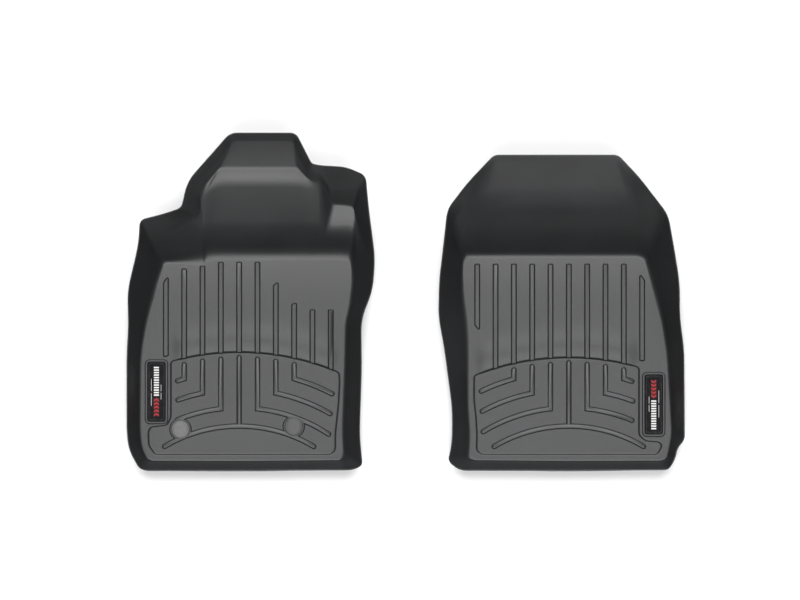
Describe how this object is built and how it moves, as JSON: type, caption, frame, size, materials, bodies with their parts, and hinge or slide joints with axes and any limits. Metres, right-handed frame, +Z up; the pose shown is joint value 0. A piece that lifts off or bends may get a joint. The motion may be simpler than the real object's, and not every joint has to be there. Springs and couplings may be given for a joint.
{
  "type": "floor mat set",
  "caption": "High-walled moulded floor liners for the front footwells of a small car, with ribbed pans, bonded badges and snap-in post retainers on the driver's liner.",
  "frame": {"origin": "middle of the pair's footprint, on the plane that the sunken floors rest on", "axes": "+X from the driver's liner towards the passenger's, +Y towards the front of the car, +Z up"},
  "size_m": [1.16, 0.7031, 0.1702],
  "materials": {
    "liner_sheet": "satin black moulded elastomer with a fine grain",
    "badge_plate": "satin black",
    "badge_print": "black face printed with plain white and red bars",
    "foam_tape": "matt foam",
    "retainer_plastic": "fine moulded grain",
    "spring_steel": "bright drawn wire"
  },
  "bodies": {
    "driver_mat": {"driver_liner": "liner_sheet", "driver_badge_plate": "badge_plate", "driver_badge_insert": "badge_print", "driver_badge_tape": "foam_tape"},
    "left_retainer": {"left_retainer_cap": "retainer_plastic", "left_retainer_socket": "retainer_plastic", "left_retainer_spring": "spring_steel"},
    "right_retainer": {"right_retainer_cap": "retainer_plastic", "right_retainer_socket": "retainer_plastic", "right_retainer_spring": "spring_steel"},
    "passenger_mat": {"passenger_liner": "liner_sheet", "passenger_badge_plate": "badge_plate", "passenger_badge_insert": "badge_print", "passenger_badge_tape": "foam_tape"}
  },
  "joints": [
    {"name": "left_retainer_turn", "type": "hinge", "parent": "driver_mat", "child": "left_retainer", "pos_m": [-0.469, -0.2646, 0], "axis": [0, 0, 1], "continuous": true},
    {"name": "right_retainer_turn", "type": "hinge", "parent": "driver_mat", "child": "right_retainer", "pos_m": [-0.2334, -0.2588, 0], "axis": [0, 0, 1], "continuous": true},
    {"name": "passenger_lift", "type": "slide", "parent": "driver_mat", "child": "passenger_mat", "axis": [0, 0, 1], "range_m": [0, 0.25]}
  ]
}
